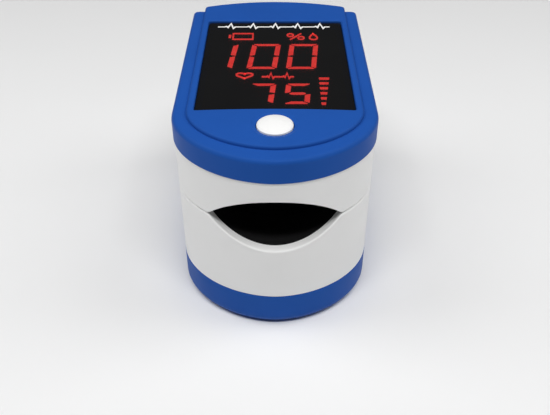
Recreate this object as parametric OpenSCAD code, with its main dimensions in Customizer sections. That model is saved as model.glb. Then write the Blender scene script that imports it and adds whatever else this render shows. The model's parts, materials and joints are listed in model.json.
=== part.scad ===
// Fingertip pulse oximeter: a clip of two jaws on one hinge pin, held shut by two torsion springs.
// The lower jaw carries the two cells and the light sensor, the upper jaw the display and the emitter.
// Millimetres, Z up. Shapes are drawn with y = 0 at the front edge of the rim and z = 0 at the base,
// and placed() moves them so that the origin is the centre of the footprint.

/* [Outline] */
// Width across the coloured rim
body_w = 34; // [33.6:0.2:36]
// Distance from the front edge to the rear shoulders
shoulder_y = 55.5; // [55.2:0.1:57]
// Depth of the curved nose
nose_d = 14.4; // [12:0.2:15]
// Fullness of the nose, where 2 is a plain ellipse
nose_power = 1.87; // [1.8:0.01:2.2]
// Width of the squeeze tail behind the shoulders
tail_w = 29.2; // [28.8:0.2:30]
// Distance from the shoulders to the rearmost point
tail_l = 3.5; // [3.3:0.1:5]
// Straight part of the tail's sides before its curved back
tail_side = 0.8; // [0.6:0.1:1.2]

/* [Heights] */
// Height of the coloured base
base_h = 7; // [6.8:0.1:7.4]
// Height of the seam between the jaws, and of the hinge axis
seam_z = 22.5; // [22.4:0.1:23]
// Height of the lower edge of the coloured rim
rim_z = 31.4; // [31.4:0.1:32]
// Height of the ledge around the raised face
rim_top = 35.7; // [35.7:0.1:36.2]
// Height of the raised face above the ledge
face_rise = 0.6; // [0.4:0.1:0.8]

/* [Walls] */
// Wall thickness of the shells and covers
wall = 1.6; // [1.4:0.1:1.7]
// Thickness of the plates that close the jaws along the seam
deck_t = 1.4; // [1.2:0.1:1.5]
// Gap between the closed jaws
seam_gap = 0.2; // [0.1:0.05:0.3]
// Step of the white shells inside the coloured rim
shell_step = 0.2; // [0.1:0.05:0.3]

/* [Finger opening] */
// Width of the opening along the seam
mouth_w = 22; // [20:0.5:22]
// Rise of the opening above the seam
mouth_up = 5.2; // [4.8:0.1:5.4]
// Drop of the opening below the seam
mouth_down = 5; // [4.6:0.1:5.2]
// Distance from the front edge to the finger stop
stop_y = 36.6; // [34:0.2:36.6]
// Distance from the front edge to the emitter and the sensor
sensor_y = 22; // [20:0.5:24]
// Thickness of the silicone pads
pad_t = 1.5; // [1.2:0.1:1.5]

/* [Hinge] */
// Distance from the front edge to the hinge pin
hinge_y = 43; // [42.8:0.1:43.4]
// Radius of the hinge pin
pin_r = 1; // [0.8:0.05:1.1]
// Slope of each jaw behind the hinge, which lets the tail be squeezed
pinch_angle = 12.5; // [12:0.25:14]
// Running clearance of the pin in the upper ears
pin_play = 0.05; // [0.03:0.01:0.08]

/* [Display] */
// Width of the window opening
window_w = 26.6; // [26:0.2:27]
// Front edge of the window opening, at its corners
window_y = 13.75; // [13.6:0.05:14]
// Length of the window opening
window_l = 35.1; // [34.6:0.1:35.4]
// Bow of the window's front edge towards the middle of the window
window_bow = 0.5; // [0:0.1:0.6]
// Height of the tall digits between the centres of their bars
tall_digit = 9.6; // [8.6:0.2:9.8]
// Height of the short digits between the centres of their bars
short_digit = 6.6; // [6:0.2:6.8]

/* [Button] */
// Diameter of the button's cap
button_d = 6; // [5.4:0.1:6.4]
// Distance from the front edge to the middle of the button
button_y = 9.4; // [9.2:0.1:9.6]

/* [Hidden] */

$fn = 64;
blue = "#2257A8";
white = "#E4E4E4";
black = "#191919";
steel = "#C9CCD0";
board_green = "#1E6B3C";

overall_l = shoulder_y + tail_l;
half_w = body_w / 2;
tail_half = tail_w / 2;
tail_corner_y = shoulder_y + tail_side;
tail_sag = overall_l - tail_corner_y;
tail_r = (tail_half * tail_half + tail_sag * tail_sag) / (2 * tail_sag);
nose_steps = 36;
tail_steps = 12;
edge_steps = 5;
far = 200;

// Walls
base_step = 0.15;
inner_step = shell_step + wall;
inner_half = half_w - inner_step;
plug_play = 0.05;
floor_t = 2;
cover_wall = inner_step - plug_play;
top_under = rim_top - wall;
face_z = rim_top + face_rise;
rim_edge_r = 0.8;
base_edge_r = 2.2;
face_side_step = half_w - tail_half;
face_front_step = 3.05;

// Finger opening: two arcs that meet the seam at the ends of the mouth
function arc_radius(rise) = (mouth_w * mouth_w / 4 + rise * rise) / (2 * rise);
mouth_r_up = arc_radius(mouth_up);
mouth_r_down = arc_radius(mouth_down);
mouth_z_up = seam_z + mouth_up - mouth_r_up;
mouth_z_down = seam_z - mouth_down + mouth_r_down;
pad_flange = 12.9;
pad_flange_t = 0.8;
pad_end = stop_y + 1.2;
pad_play = 0.1;
pad_pocket_z = [16, 25];
cradle_half = 12;
cradle_inset = 3;
cradle_gap = 0.05;
cradle_t = 1;
cradle_rail_x = [11.2, 15.1];
cradle_rail_t = 1.3;
optic_r = 3.5;

// Hinge
pinch_y = hinge_y - 1;
ear_r = 2.5;
ear_room = 0.5;
upper_ear = [10.4, 12.5];
lower_ear = [12.8, 14.9];
pin_end = lower_ear[1] - 0.1;
ear_gap = 0.3;
ear_y = [hinge_y - ear_r, hinge_y + ear_r];
ear_web_h = 4;
ear_slot_y = [ear_y[0] - ear_room, ear_y[1] + ear_room];
slot_z = [18, 26];
spring_wire = 0.3;
spring_r = 1.5;
spring_x = [4.2, 9];
spring_turns = 5.5;
leg_end_y = hinge_y + 8;
leg_tilt = 1.9;
trough_r = 2.3;
trough_t = 0.8;
trough_x = 10.1;
leg_groove_half = 0.55;
leg_groove_y = [hinge_y + 1, leg_end_y + 0.3];
leg_groove_drop = 2.1;

// Cells and their tray
cell_r = 5.25;
cell_l = 44.5;
cell_nub_r = 1.9;
cell_nub_l = 0.8;
cell_x = 5.6;
cell_z = 7.3;
bay_x = 11.2;
bay_front = 7.4;
contact_t = 0.4;
contact_spring_l = 1.5;
bay_back = bay_front + 2 * contact_t + contact_spring_l + cell_l;
terminal_y = [bay_back - contact_t, bay_back];
terminal_tab_x = 4;
tray_wall = 0.8;
tray_top = 13.6;
strip_y = [16, 52];
strip_top = 8.5;

// Battery door
door_half = 12.3;
door_play = 0.1;
door_front = 10;
door_z = 0.25;
door_top = 1.5;
door_rail_reach = 0.8;
door_rail_z = [1, 1.4];

// Eye for a wrist cord
lug_at = [tail_half + 0.85, shoulder_y + 1.5];
lug_z = [12, 14];
lug_r = 1.5;
lug_hole_r = 0.8;

// Upper stack
board_z = 30.4;
board_t = 1;
board_back = 50;
module_z = board_z + board_t;
window_z = top_under + 0.8;
window_top = face_z - 0.4;
window_play = 0.1;
ledge = 1;
emitter_z = 29.7;
segment_t = 0.15;
module_top = window_z - 0.2;
module_half = 12;
module_y = [15.4, 47.4];
module_play = 0.1;
slant = tan(5);
button_play = 0.15;
button_flange_z = 33.3;
plunger_r = 0.8;

// Screws
screw_r = 0.8;
screw_head_r = 1.5;
screw_play = 0.15;
screw_head_play = 0.2;
case_screw = [5.5, 4.7];
case_screw_seat = 1.4;
cover_screw = [11, 52.5];
cover_screw_seat = 26.7;
pillar_top = 28.2;

// Lower electronics
lower_board_z = 14;
lower_board_t = 0.8;
lower_board_y = [16, 30.2];
ribbon_y = 38.7;
ribbon_t = 0.3;
ribbon_half = 3;
ribbon_slot_half = 3.6;
connector_t = 1.1;

// ---------- plan outlines ----------

// Curved nose from the left side to the right side, inset ix at the sides and iy at the front
function nose(ix, iy) = [
    for (k = [0:nose_steps])
        let (a = 180 * (1 - k / nose_steps), c = cos(a), s = sin(a))
        [sign(c) * (half_w - ix) * pow(abs(c), 2 / nose_power),
         nose_d - (nose_d - iy) * pow(abs(s), 2 / nose_power)]
];

// Curved back of the tail from right to left, inset by i
function tail(i) = [
    for (k = [0:tail_steps])
        let (a = asin((tail_half - i) / (tail_r - i)) * (1 - 2 * k / tail_steps))
        [(tail_r - i) * sin(a), overall_l - tail_r + (tail_r - i) * cos(a)]
];

// The nose and the straight sides as far as the shoulders
function front_part(i) = concat(nose(i, i), [[half_w - i, shoulder_y - i], [i - half_w, shoulder_y - i]]);

// A block that ends in the tail
function tail_part(i) = concat([[i - tail_half, shoulder_y - 6], [tail_half - i, shoulder_y - 6]], tail(i));

// The whole outline, with its shoulders
function outline(i) = concat(
    nose(i, i),
    [[half_w - i, shoulder_y - i], [tail_half - i, shoulder_y - i]],
    tail(i),
    [[i - tail_half, shoulder_y - i], [i - half_w, shoulder_y - i]]
);

// The raised face, whose sides run straight into the tail
function face_outline(i) = concat(nose(face_side_step + i, face_front_step + i), tail(i));

// The window, inset by i, with its bowed front edge
function window_outline(i) = concat(
    [for (k = [-6:6]) let (t = k / 6) [t * (window_w / 2 - i), window_y + i + window_bow * (1 - t * t)]],
    [[window_w / 2 - i, window_y + window_l - i], [i - window_w / 2, window_y + window_l - i]]
);

// ---------- shared helpers ----------

module placed() {
    translate([0, -overall_l / 2, 0]) children();
}

module slab(points, z0, z1) {
    translate([0, 0, z0]) linear_extrude(z1 - z0) polygon(points);
}

module box(x, y, z) {
    translate([x[0], y[0], z[0]]) cube([x[1] - x[0], y[1] - y[0], z[1] - z[0]]);
}

module both_sides() {
    children();
    mirror([1, 0, 0]) children();
}

// Places of the screws under the base, and of those in the upper jaw's rear slope
module at_case_screws(z) {
    both_sides() translate([case_screw[0], case_screw[1], z]) children();
}

module at_cover_screws(z) {
    both_sides() translate([cover_screw[0], cover_screw[1], z]) children();
}

// A cylinder along X, centred on the hinge axis
module hinge_round(r, x0, x1) {
    translate([x0, hinge_y, seam_z]) rotate([0, 90, 0]) cylinder(h = x1 - x0, r = r);
}

// A cylinder along Y at height z, for the arcs of the finger opening
module mouth_round(r, z, y0, y1) {
    translate([0, y1, z]) rotate([90, 0, 0]) cylinder(h = y1 - y0, r = r, $fn = 128);
}

// Everything above the lower jaw's top, lowered by drop, sloping down behind the hinge
module over_jaw(drop) {
    translate([0, pinch_y, seam_z - seam_gap / 2 - drop]) {
        translate([-far / 2, -far, 0]) cube([far, far, far]);
        rotate([-pinch_angle, 0, 0]) translate([-far / 2, -far / 4, 0]) cube([far, far, far]);
    }
}

// The same for the other jaw: its children turned over about the seam
module turned_over() {
    translate([0, 0, 2 * seam_z]) mirror([0, 0, 1]) children();
}

// [inset, height] pairs that climb round an edge of radius r, from the side to the flat
function round_edge(r) = [
    for (k = [0:edge_steps])
        let (a = 90 * k / edge_steps)
        [r * (1 - cos(a)), r * sin(a)]
];

// Six-sided wire along a list of points, with side vector ref never along the wire
function unit(v) = v / norm(v);
function heading(p, k) = unit(p[min(k + 1, len(p) - 1)] - p[max(k - 1, 0)]);
module wire(p, r, ref) {
    sides = 6;
    ring = [
        for (k = [0:len(p) - 1])
            let (t = heading(p, k), u = unit(cross(t, ref)), w = cross(t, u))
            for (j = [0:sides - 1]) p[k] + r * (cos(360 * j / sides) * u + sin(360 * j / sides) * w)
    ];
    last = (len(p) - 1) * sides;
    polyhedron(ring, concat(
        [[for (j = [0:sides - 1]) sides - 1 - j]],
        [
            for (k = [0:len(p) - 2])
                for (j = [0:sides - 1])
                    let (a = k * sides + j, b = k * sides + (j + 1) % sides)
                    [a, b, b + sides, a + sides]
        ],
        [[for (j = [0:sides - 1]) last + j]]
    ), convexity = 10);
}

// ---------- lower jaw ----------

// Solid coloured base with its round lower edge
module base_block() {
    module stack(part) {
        hull() {
            for (e = round_edge(base_edge_r))
                slab(part == 0 ? front_part(base_step + e[0]) : tail_part(base_step + e[0]),
                     base_edge_r - e[1], base_h);
        }
    }
    stack(0);
    stack(1);
}

// Doorway for the battery door, open to the rear, with a groove along each side
module doorway() {
    opening = door_half + door_play;
    box([-opening, opening], [door_front, far], [-1, base_h + 1]);
    both_sides() box([0, opening + door_rail_reach + door_play], [door_front - 1, far],
                     [door_rail_z[0] - door_play, door_rail_z[1] + door_play]);
}

module bottom_cover() {
    color(blue) placed() difference() {
        base_block();
        slab(outline(base_step + wall), floor_t, base_h + 1);
        doorway();
        at_case_screws(-1) {
            cylinder(h = case_screw_seat + 1, r = screw_head_r + screw_head_play);
            cylinder(h = floor_t + 2, r = screw_r + screw_play);
        }
    }
}

module battery_door() {
    front = door_front + 0.15;
    grip_count = 6;
    grip_pitch = 1.4;
    grip_y = 46;
    grip_w = 0.6;
    grip_half = 6;
    grip_depth = 0.35;
    arrow_y = 40;
    arrow_half = 3;
    arrow_l = 3.6;
    arrow_depth = 0.3;
    rail = [door_half - 0.3, door_half + door_rail_reach];
    color(blue) placed() {
        difference() {
            intersection() {
                base_block();
                box([-door_half, door_half], [front, far], [door_z, base_h - door_play]);
            }
            slab(outline(base_step + wall), door_top, base_h);
            for (k = [0:grip_count - 1])
                let (y = grip_y + k * grip_pitch)
                box([-grip_half, grip_half], [y, y + grip_w], [0, door_z + grip_depth]);
            translate([0, arrow_y, 0]) linear_extrude(door_z + arrow_depth)
                polygon([[-arrow_half, 0], [arrow_half, 0], [0, arrow_l]]);
        }
        both_sides() box(rail, [door_front + 0.5, shoulder_y - 2], door_rail_z);
    }
}

// Pocket for a pad in a jaw's deck
module pad_pocket(z) {
    half = pad_flange + pad_play;
    intersection() {
        box([-half, half], [0, pad_end + pad_play], z);
        slab(outline(inner_step), z[0], z[1]);
    }
}

// Groove for the spring leg at x, on both sides
module leg_grooves(x, z) {
    both_sides() box([x - leg_groove_half, x + leg_groove_half], leg_groove_y, z);
}

// Walls of the lower jaw, cut off along the seam
module lower_walls() {
    difference() {
        union() {
            difference() {
                slab(outline(shell_step), base_h, seam_z);
                difference() {
                    slab(outline(inner_step), base_h - 1, seam_z);
                    over_jaw(deck_t);
                }
            }
            // Web under each lower ear
            both_sides() box([lower_ear[0], inner_half + 0.2], ear_y, [seam_z - ear_web_h, seam_z]);
            // Trough under the pin
            hinge_round(trough_r + trough_t, -trough_x, trough_x);
        }
        over_jaw(0);
        hinge_round(trough_r, -trough_x, trough_x);
        mouth_round(mouth_r_down, mouth_z_down, -1, nose_d);
        pad_pocket([pad_pocket_z[0], seam_z]);
        // Room for the upper ears, the ribbon and one spring leg on each side
        both_sides() box([trough_x, upper_ear[1] + ear_gap], ear_slot_y, [slot_z[0], seam_z]);
        box([-ribbon_slot_half, ribbon_slot_half], [ribbon_y - 0.5, ribbon_y + 0.6], [slot_z[0], seam_z]);
        leg_grooves(spring_x[1], [seam_z - leg_groove_drop, seam_z]);
    }
}

// Eye for a wrist cord, in the notch beside the tail
module lanyard_lug() {
    lug_t = lug_z[1] - lug_z[0];
    difference() {
        union() {
            translate([lug_at[0], lug_at[1], lug_z[0]]) cylinder(h = lug_t, r = lug_r);
            box([tail_half - wall / 2, lug_at[0] + lug_r], [shoulder_y - wall / 2, lug_at[1]], lug_z);
        }
        translate([lug_at[0], lug_at[1], lug_z[0] - 1]) cylinder(h = lug_t + 2, r = lug_hole_r);
    }
}

module lower_shell() {
    strip_x = [inner_half - 0.75, inner_half];
    strip_bottom = 5.8;
    post_r = 1.8;
    color(white) placed() {
        difference() {
            union() {
                lower_walls();
                both_sides() hinge_round(ear_r, lower_ear[0], lower_ear[1]);
            }
            hinge_round(pin_r, -pin_end, pin_end);
        }
        // Strips that plug into the base and carry the battery tray
        both_sides() {
            box([strip_x[0], strip_x[1] + 0.1], strip_y, [base_h, strip_top]);
            box(strip_x, strip_y, [strip_bottom, base_h]);
        }
        // Post for each screw, up the inside of the front wall
        difference() {
            intersection() {
                at_case_screws(floor_t + plug_play) cylinder(h = 10, r = post_r);
                slab(outline(inner_step - 0.05), 0, seam_z);
            }
            at_case_screws(0) cylinder(h = 9, r = screw_r);
        }
        lanyard_lug();
    }
}

module battery_tray() {
    outer = bay_x + tray_wall;
    rib_half = 0.2;
    rib_bottom = 10.5;
    rib_end = 4;
    color(black) placed() difference() {
        union() {
            intersection() {
                box([-outer, outer], [bay_front - tray_wall, bay_back + tray_wall], [floor_t, tray_top]);
                slab(outline(inner_step + plug_play), 0, seam_z);
            }
            // Flange on each side, which rests on the lower shell's strips
            both_sides() box([bay_x, inner_half - 0.1], [strip_y[0] + 1, strip_y[1] - 1],
                             [strip_top, strip_top + tray_wall]);
        }
        difference() {
            box([-bay_x, bay_x], [bay_front, bay_back], [0, tray_top - tray_wall]);
            box([-rib_half, rib_half], [bay_front + rib_end, bay_back - rib_end], [rib_bottom, tray_top]);
        }
        both_sides() box([terminal_tab_x - 1, terminal_tab_x + 1], terminal_y, [0, tray_top + 1]);
    }
}

// One AAA cell with its positive nub to the rear, from y = 0
module cell() {
    rotate([-90, 0, 0]) {
        cylinder(h = cell_l - cell_nub_l, r = cell_r);
        cylinder(h = cell_l, r = cell_nub_r);
    }
}

module battery_left() {
    color("#3A3F46") placed()
        translate([-cell_x, bay_front + contact_t + contact_spring_l, cell_z]) cell();
}

module battery_right() {
    color("#3A3F46") placed()
        translate([cell_x, bay_front + contact_t + cell_l, cell_z]) mirror([0, 1, 0]) cell();
}

// Contact coil from y = 0 to the length of the coil, along Y
module contact_coil() {
    turns = 2.5;
    steps = 14;
    wire_r = 0.2;
    coil_r = 2.6;
    taper = 0.8;
    count = turns * steps;
    wire([
        for (k = [0:count])
            let (a = 360 * k / steps, r = coil_r - taper * k / count)
            [r * cos(a), wire_r + (contact_spring_l - 2 * wire_r) * k / count, r * sin(a)]
    ], wire_r, [0, 1, 0]);
}

module battery_springs() {
    color(steel) placed() {
        translate([-cell_x, bay_front + contact_t, cell_z]) contact_coil();
        translate([cell_x, bay_back - contact_t, cell_z]) mirror([0, 1, 0]) contact_coil();
    }
}

module battery_plates() {
    plate_half = 9.8;
    plate_gap_half = 1.4;
    plate_z = [3.4, 11.2];
    tab_half = 0.8;
    color(steel) placed() {
        // Bridge at the front, and a separate plate for each terminal at the rear
        box([-plate_half, plate_half], [bay_front, bay_front + contact_t], plate_z);
        both_sides() {
            box([plate_gap_half, plate_half], terminal_y, plate_z);
            box([terminal_tab_x - tab_half, terminal_tab_x + tab_half], terminal_y,
                [plate_z[1], lower_board_z + lower_board_t]);
        }
    }
}

// Insulated leads from the terminals' tabs to the sensor board
module battery_leads() {
    lead_r = 0.4;
    color("#B3202A") placed() both_sides()
        translate([terminal_tab_x, terminal_y[0], lower_board_z + lead_r]) rotate([90, 0, 0])
            cylinder(h = terminal_y[0] - lower_board_y[1], r = lead_r);
}

// Curved cradle under a pad; r and z give the pad's arc, side is 1 above the seam and -1 below
module cradle(r, z, side) {
    inner = r + pad_t + cradle_gap;
    difference() {
        intersection() {
            mouth_round(inner + cradle_t, z, 0, pad_end);
            slab(outline(cradle_inset), 0, far);
            box([-cradle_half, cradle_half], [0, far], side > 0 ? [seam_z + 1, far] : [0, seam_z - 1]);
        }
        mouth_round(inner, z, -1, far);
    }
}

// Rails that hold a cradle against the side walls, from y = front, with their undersides at z = bottom
module cradle_rails(r, z, front, bottom) {
    difference() {
        both_sides() box(cradle_rail_x, [front, pad_end - 1], [bottom, bottom + cradle_rail_t]);
        mouth_round(r + pad_t + cradle_gap, z, -1, far);
    }
}

// Square opening through a cradle at the sensor or the emitter
module cradle_window(half, z) {
    box([-half, half], [sensor_y - half, sensor_y + half], z);
}

module lower_cradle() {
    color(black) placed() difference() {
        union() {
            cradle(mouth_r_down, mouth_z_down, -1);
            cradle_rails(mouth_r_down, mouth_z_down, 15, 19.6);
        }
        cradle_window(2.5, [12, 18]);
    }
}

// Silicone pad of the lower jaw: a trough with a flange along each side and a finger stop
module pad(r, z) {
    top = seam_z - seam_gap;
    difference() {
        intersection() {
            slab(outline(inner_step + plug_play), 10, top);
            union() {
                mouth_round(r + pad_t, z, 0, pad_end);
                box([-pad_flange, pad_flange], [0, pad_end], [top - pad_flange_t, top]);
            }
        }
        mouth_round(r, z, -1, stop_y);
        translate([0, sensor_y, 0]) cylinder(h = seam_z, r = optic_r + pad_play);
    }
}

module lower_pad() {
    color(black) placed() pad(mouth_r_down, mouth_z_down);
}

module sensor_board() {
    half = 6;
    color(board_green) placed()
        box([-half, half], lower_board_y, [lower_board_z, lower_board_z + lower_board_t]);
}

module photodiode() {
    half = 2;
    height = 1.2;
    bottom = lower_board_z + lower_board_t;
    color("#2B2B30") placed()
        box([-half, half], [sensor_y - half, sensor_y + half], [bottom, bottom + height]);
}

module lens(z, t) {
    color("#5A2026") placed() translate([0, sensor_y, z]) cylinder(h = t, r = optic_r);
}

module sensor_lens() {
    lens(16.4, 1.1);
}

module hinge_pin() {
    color(steel) placed() hinge_round(pin_r, -pin_end, pin_end);
}

// Self-tapping screw, point up, with its head's seat at z = 0 and a cross recess
module screw(length, head_h) {
    cross_half = 1;
    slot_half = 0.2;
    recess = [-head_h - 1, -head_h + 0.4];
    difference() {
        union() {
            cylinder(h = length, r = screw_r);
            translate([0, 0, -head_h]) cylinder(h = head_h, r = screw_head_r);
        }
        box([-cross_half, cross_half], [-slot_half, slot_half], recess);
        box([-slot_half, slot_half], [-cross_half, cross_half], recess);
    }
}

module case_screws() {
    color(steel) placed() at_case_screws(case_screw_seat) screw(6.6, 1.1);
}

// Torsion spring round the pin, on the right: one leg on the upper jaw's slope, one on the lower's
coil_steps = 16;
function coil_points() = [
    for (k = [0:coil_steps * spring_turns])
        let (a = 90 + 360 * k / coil_steps)
        [spring_x[0] + (spring_x[1] - spring_x[0]) * k / (coil_steps * spring_turns),
         hinge_y + spring_r * cos(a), seam_z + spring_r * sin(a)]
];
function leg_tip(x, side) = [
    x, leg_end_y, seam_z + side * (spring_r + (leg_end_y - hinge_y) * tan(leg_tilt))
];

module torsion_spring() {
    ends = [leg_tip(spring_x[0], 1), leg_tip(spring_x[1], -1)];
    wire(concat([ends[0]], coil_points(), [ends[1]]), spring_wire, [1, 0, 0]);
}

module spring_right() {
    color(steel) placed() torsion_spring();
}

module spring_left() {
    color(steel) placed() mirror([1, 0, 0]) torsion_spring();
}

// Flat cable from the sensor board, up past the hinge pin to the main board
module ribbon_cable() {
    bend = 2;
    z0 = lower_board_z + 0.3;
    x = [-ribbon_half, ribbon_half];
    color("#C9822E") placed() {
        box(x, [lower_board_y[1], ribbon_y - bend], [z0, z0 + ribbon_t]);
        intersection() {
            translate([0, ribbon_y - bend, z0 + bend]) rotate([0, 90, 0]) difference() {
                cylinder(h = 3 * ribbon_half, r = bend, center = true);
                cylinder(h = 4 * ribbon_half, r = bend - ribbon_t, center = true);
            }
            box(x, [ribbon_y - bend, ribbon_y], [z0, z0 + bend]);
        }
        box(x, [ribbon_y - ribbon_t, ribbon_y], [z0 + bend, board_z - connector_t]);
    }
}

// ---------- upper jaw ----------

// Walls of the upper jaw, cut off along the seam
module upper_walls() {
    pillar_r = 2.5;
    rib_x = [pad_flange, inner_half + 0.2];
    rib_t = 1.6;
    difference() {
        union() {
            difference() {
                slab(outline(shell_step), seam_z, rim_z);
                difference() {
                    slab(outline(inner_step), seam_z, rim_z + 1);
                    turned_over() over_jaw(deck_t);
                }
            }
            // Web above each upper ear
            both_sides() box(upper_ear, ear_y, [seam_z, seam_z + ear_web_h]);
            hinge_round(trough_r + trough_t, -trough_x, trough_x);
            // Pillar for each cover screw
            at_cover_screws(seam_z) cylinder(h = pillar_top - seam_z, r = pillar_r);
            // Ribs that carry the main board
            both_sides() for (y = [16, 46]) box(rib_x, [y, y + rib_t], [slot_z[1], board_z]);
        }
        turned_over() over_jaw(0);
        hinge_round(trough_r, -trough_x, trough_x);
        mouth_round(mouth_r_up, mouth_z_up, -1, nose_d);
        pad_pocket([seam_z, pad_pocket_z[1]]);
        // Room for the lower ears, the ribbon and the other spring leg on each side
        both_sides() box([lower_ear[0] - ear_gap, inner_half], ear_slot_y, [seam_z, slot_z[1]]);
        box([-ribbon_slot_half, ribbon_slot_half], [ribbon_y - 0.8, ribbon_y + 0.4], [seam_z, slot_z[1]]);
        leg_grooves(spring_x[0], [seam_z, seam_z + leg_groove_drop]);
        at_cover_screws(seam_z) {
            cylinder(h = cover_screw_seat - seam_z, r = screw_head_r + screw_head_play);
            cylinder(h = 10, r = screw_r + screw_play);
        }
    }
}

module upper_shell() {
    color(white) placed() difference() {
        union() {
            upper_walls();
            both_sides() hinge_round(ear_r, upper_ear[0], upper_ear[1]);
        }
        hinge_round(pin_r + pin_play, -pin_end, pin_end);
    }
}

// Solid top with its round upper edge, the tail and the raised face
module top_block() {
    edge = round_edge(rim_edge_r);
    face_edge = 0.3;
    hull() for (e = edge) slab(front_part(rim_edge_r - e[1]), rim_z, rim_top - e[0]);
    hull() for (e = edge) slab(tail_part(rim_edge_r - e[1]), rim_z, rim_top - e[0]);
    hull() {
        slab(face_outline(0), rim_top - 1, face_z - face_edge);
        slab(face_outline(face_edge * 0.3), rim_top - 1, face_z - face_edge * 0.3);
        slab(face_outline(face_edge), rim_top - 1, face_z);
    }
}

module top_cover() {
    hole_r = button_d / 2 + button_play;
    dish_depth = 0.3;
    dish_slope = 2;
    tongue_t = 0.9;
    tongue_h = 0.9;
    boss_r = 2;
    color(blue) placed() difference() {
        union() {
            difference() {
                top_block();
                slab(outline(cover_wall), rim_z - 1, top_under);
            }
            // Tongue that plugs into the upper shell
            difference() {
                slab(outline(inner_step + plug_play), rim_z - tongue_h, rim_z + 1);
                slab(outline(inner_step + plug_play + tongue_t), rim_z - 2, rim_z + 2);
            }
            at_cover_screws(pillar_top + plug_play) cylinder(h = top_under - pillar_top, r = boss_r);
        }
        slab(window_outline(0), window_z, face_z + 1);
        slab(window_outline(ledge), rim_z, face_z + 1);
        translate([0, button_y, rim_z]) cylinder(h = 10, r = hole_r);
        translate([0, button_y, face_z - dish_depth])
            cylinder(h = 2 * dish_depth, r1 = hole_r, r2 = hole_r + 2 * dish_depth * dish_slope);
        at_cover_screws(pillar_top - 1) cylinder(h = top_under - pillar_top + 0.5, r = screw_r);
    }
}

module display_window() {
    color("#1C1C1E") placed() slab(window_outline(window_play), window_z, window_top);
}

// Foam frame round the display block, under the top cover
module display_gasket() {
    outer_half = 13.8;
    outer_y = [13.8, 49];
    bottom = 33.2;
    inner_half_x = module_half + module_play;
    inner_y = [module_y[0] - module_play, module_y[1] + module_play];
    color("#0E0E0E") placed() difference() {
        box([-outer_half, outer_half], outer_y, [bottom, top_under - plug_play]);
        box([-inner_half_x, inner_half_x], inner_y, [bottom - 1, top_under + 1]);
    }
}

module display_module() {
    color(black) placed() box([-module_half, module_half], module_y, [module_z, module_top]);
}

// One bar of a digit between two points, with pointed ends, leaning with the slant
module bar(a, b, w) {
    d = unit(b - a);
    s = [-d[1], d[0]] * w / 2;
    tip = d * w / 2;
    polygon([a, a + tip + s, b - tip + s, b, b - tip - s, a + tip - s]);
}

// Seven-bar digit: w and h between bar centres, [x, y] of the lower left corner, lit bars by letter
module digit(at, w, h, stroke, lit) {
    gap = stroke * 0.6;
    p = [for (c = [[0, 0], [w, 0], [0, h / 2], [w, h / 2], [0, h], [w, h]])
        at + [c[0] + slant * (c[1] - h / 2), c[1]]];
    ends = [["a", 4, 5], ["b", 5, 3], ["c", 3, 1], ["d", 0, 1], ["e", 0, 2], ["f", 2, 4], ["g", 2, 3]];
    for (e = ends)
        if (len(search(e[0], lit)) > 0) {
            d = unit(p[e[2]] - p[e[1]]) * gap / 2;
            bar(p[e[1]] + d, p[e[2]] - d, stroke);
        }
}

// Outline of a heart about [0, 0], s wide, as a list of points
function heart(s) = [
    for (k = [0:24])
        let (a = 360 * k / 24)
        s / 32 * [16 * pow(sin(a), 3), 13 * cos(a) - 5 * cos(2 * a) - 2 * cos(3 * a) - cos(4 * a)]
];

module display_segments() {
    tall_y = 31.4;
    tall_w = 4.5;
    tall_stroke = 0.95;
    short_y = 18.6;
    short_w = 3.8;
    short_stroke = 0.85;
    level_count = 6;
    level_pitch = 1.77;
    level_at = [7.8, short_y - 0.45];
    level_size = [0.75, 0.9];
    level_growth = 0.21;
    cell_at = [-6.35, 44.85];
    cell_size = [4.3, 3];
    nub_size = [0.6, 1.4];
    line_w = 0.45;
    heart_at = [-5.55, 28.6];
    heart_w = 3.2;
    heart_hole = 0.68;
    color("#E8352F") placed() translate([0, 0, module_top]) linear_extrude(segment_t) {
        digit([-12.5, tall_y], tall_w, tall_digit, tall_stroke, "bc");
        for (x = [-4.33, 2.95]) digit([x, tall_y], tall_w, tall_digit, tall_stroke, "abcdef");
        digit([-4.25, short_y], short_w, short_digit, short_stroke, "abc");
        digit([1.95, short_y], short_w, short_digit, short_stroke, "acdfg");
        // Pulse strength bars, wider towards the top
        for (k = [0:level_count - 1])
            translate(level_at + [0, k * level_pitch]) square(level_size + [k * level_growth, 0]);
        // Cell outline
        translate(cell_at) {
            difference() {
                square(cell_size, center = true);
                square([cell_size[0] - 2 * line_w, cell_size[1] - 2 * line_w], center = true);
            }
            translate([-cell_size[0] / 2 - 0.8, -nub_size[1] / 2]) square(nub_size);
        }
        // Heart outline
        translate(heart_at) difference() {
            polygon(heart(heart_w));
            scale([heart_hole, heart_hole]) polygon(heart(heart_w));
        }
    }
}

module main_board() {
    board_inset = 3.2;
    color(board_green) placed() intersection() {
        slab(outline(board_inset), board_z, board_z + board_t);
        box([-far, far], [0, board_back], [0, far]);
    }
}

module board_chips() {
    // x, y and height of each chip
    chips = [
        [[-10, -4], [41.6, 47.6], 1],
        [[1.4, 4.8], [43.6, 46.8], 0.9],
        [[6.4, 9.4], [42, 46], 0.8]
    ];
    small_t = 0.6;
    small = [0.8, 1.6];
    color("#202124") placed() {
        // Under the board, behind the finger stop
        for (c = chips) box(c[0], c[1], [board_z - c[2], board_z]);
        for (x = [2:1.6:8.4]) box([x, x + small[0]], [47.4, 47.4 + small[1]], [board_z - small_t, board_z]);
        // On top, beside the switch
        both_sides() for (y = [7, 9, 11]) box([5.4, 7], [y, y + 0.9], [module_z, module_z + small_t]);
    }
}

module ribbon_connector() {
    half = 3.8;
    color("#E8E4D8") placed()
        box([-half, half], [ribbon_y - 0.7, ribbon_y + 1.9], [board_z - connector_t, board_z]);
}

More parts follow.
